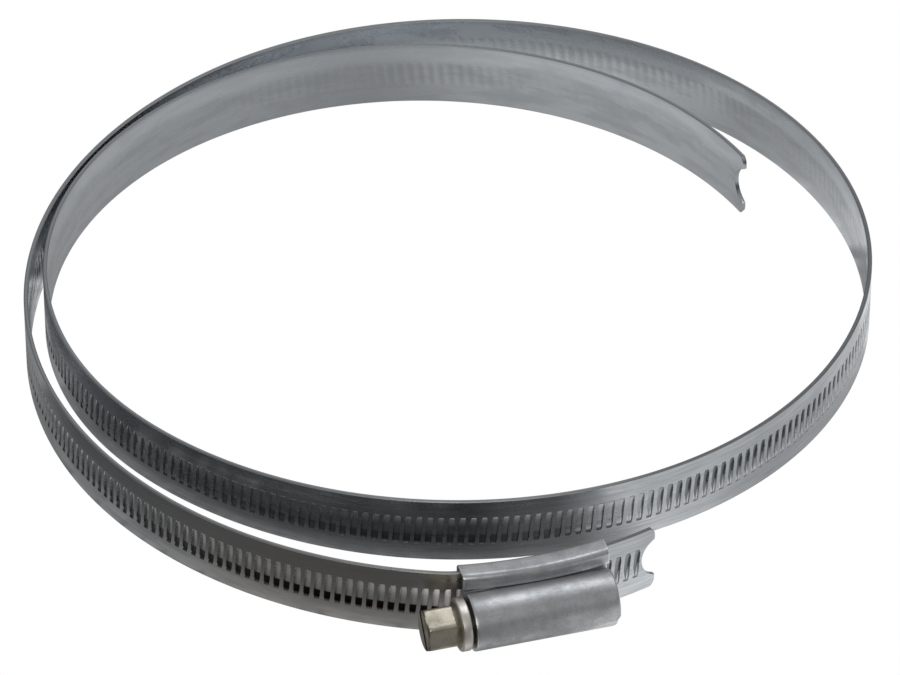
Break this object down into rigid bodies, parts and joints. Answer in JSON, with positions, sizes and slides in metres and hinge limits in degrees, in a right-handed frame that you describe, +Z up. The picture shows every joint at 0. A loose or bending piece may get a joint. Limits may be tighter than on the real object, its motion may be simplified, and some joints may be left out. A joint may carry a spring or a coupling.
{
  "type": "worm-drive hose clip",
  "caption": "Large worm-drive hose clip: a grooved steel band, loosely coiled, with a screw housing that draws it tight round a hose or duct.",
  "frame": {"origin": "centre of the coil's inner circle, at mid width of the band", "axes": "+Z up along the coil's axis; the screw's axis runs along X in front of the coil, on the -Y side, with the hex head towards -X"},
  "size_m": [0.1571, 0.1741, 0.0152],
  "materials": {
    "strip": "cold-rolled strip with thin zinc plating, fine streaks along its length",
    "pressed_sheet": "bright zinc plating, slightly mottled",
    "screw_plating": "pale yellowish zinc plating, satin"
  },
  "bodies": {
    "clip": {"saddle": "pressed_sheet", "screw_housing": "pressed_sheet", "band_fixed_end": "strip"},
    "screw": {"worm_screw": "screw_plating"},
    "band_run_1": {"band_run_1": "strip"},
    "band_run_2": {"band_run_2": "strip"},
    "band_run_3": {"band_run_3": "strip"},
    "band_run_4": {"band_run_4": "strip"},
    "band_run_5": {"band_run_5": "strip"},
    "band_run_6": {"band_run_6": "strip"},
    "band_run_7": {"band_run_7": "strip"},
    "band_run_8": {"band_run_8": "strip"},
    "band_free_end": {"band_free_end": "strip"}
  },
  "joints": [
    {"name": "screw_turn", "type": "hinge", "parent": "clip", "child": "screw", "pos_m": [-0.00528, -0.09463, 0], "axis": [1, 0, 0], "continuous": true},
    {"name": "band_open", "type": "hinge", "parent": "clip", "child": "band_run_1", "pos_m": [-0.02209, -0.08742, 0], "axis": [0, 0, 1], "range_deg": [0, 8], "stiffness_Nm_per_rad": 43},
    {"name": "band_flex_2", "type": "hinge", "parent": "band_run_1", "child": "band_run_2", "pos_m": [-0.07366, -0.01458, 0], "axis": [0, 0, 1], "range_deg": [0, 16]},
    {"name": "band_flex_3", "type": "hinge", "parent": "band_run_2", "child": "band_run_3", "pos_m": [-0.02473, 0.06653, 0], "axis": [0, 0, 1], "range_deg": [0, 16]},
    {"name": "band_flex_4", "type": "hinge", "parent": "band_run_3", "child": "band_run_4", "pos_m": [0.05724, 0.05574, 0], "axis": [0, 0, 1], "range_deg": [0, 16]},
    {"name": "band_flex_5", "type": "hinge", "parent": "band_run_4", "child": "band_run_5", "pos_m": [0.07941, -0.02107, 0], "axis": [0, 0, 1], "range_deg": [0, 16]},
    {"name": "band_flex_6", "type": "hinge", "parent": "band_run_5", "child": "band_run_6", "pos_m": [0.01748, -0.07248, 0], "axis": [0, 0, 1], "range_deg": [0, 16]},
    {"name": "band_flex_7", "type": "hinge", "parent": "band_run_6", "child": "band_run_7", "pos_m": [-0.05883, -0.0341, 0], "axis": [0, 0, 1], "range_deg": [0, 16]},
    {"name": "band_flex_8", "type": "hinge", "parent": "band_run_7", "child": "band_run_8", "pos_m": [-0.0548, 0.04026, 0], "axis": [0, 0, 1], "range_deg": [0, 16]},
    {"name": "band_flex_9", "type": "hinge", "parent": "band_run_8", "child": "band_free_end", "pos_m": [0.01495, 0.06634, 0], "axis": [0, 0, 1], "range_deg": [0, 16]}
  ],
  "couplings": [
    {"joint": "band_flex_2", "follows": "band_open", "ratio": 2},
    {"joint": "band_flex_3", "follows": "band_open", "ratio": 2},
    {"joint": "band_flex_4", "follows": "band_open", "ratio": 2},
    {"joint": "band_flex_5", "follows": "band_open", "ratio": 2},
    {"joint": "band_flex_6", "follows": "band_open", "ratio": 2},
    {"joint": "band_flex_7", "follows": "band_open", "ratio": 2},
    {"joint": "band_flex_8", "follows": "band_open", "ratio": 2},
    {"joint": "band_flex_9", "follows": "band_open", "ratio": 2}
  ]
}
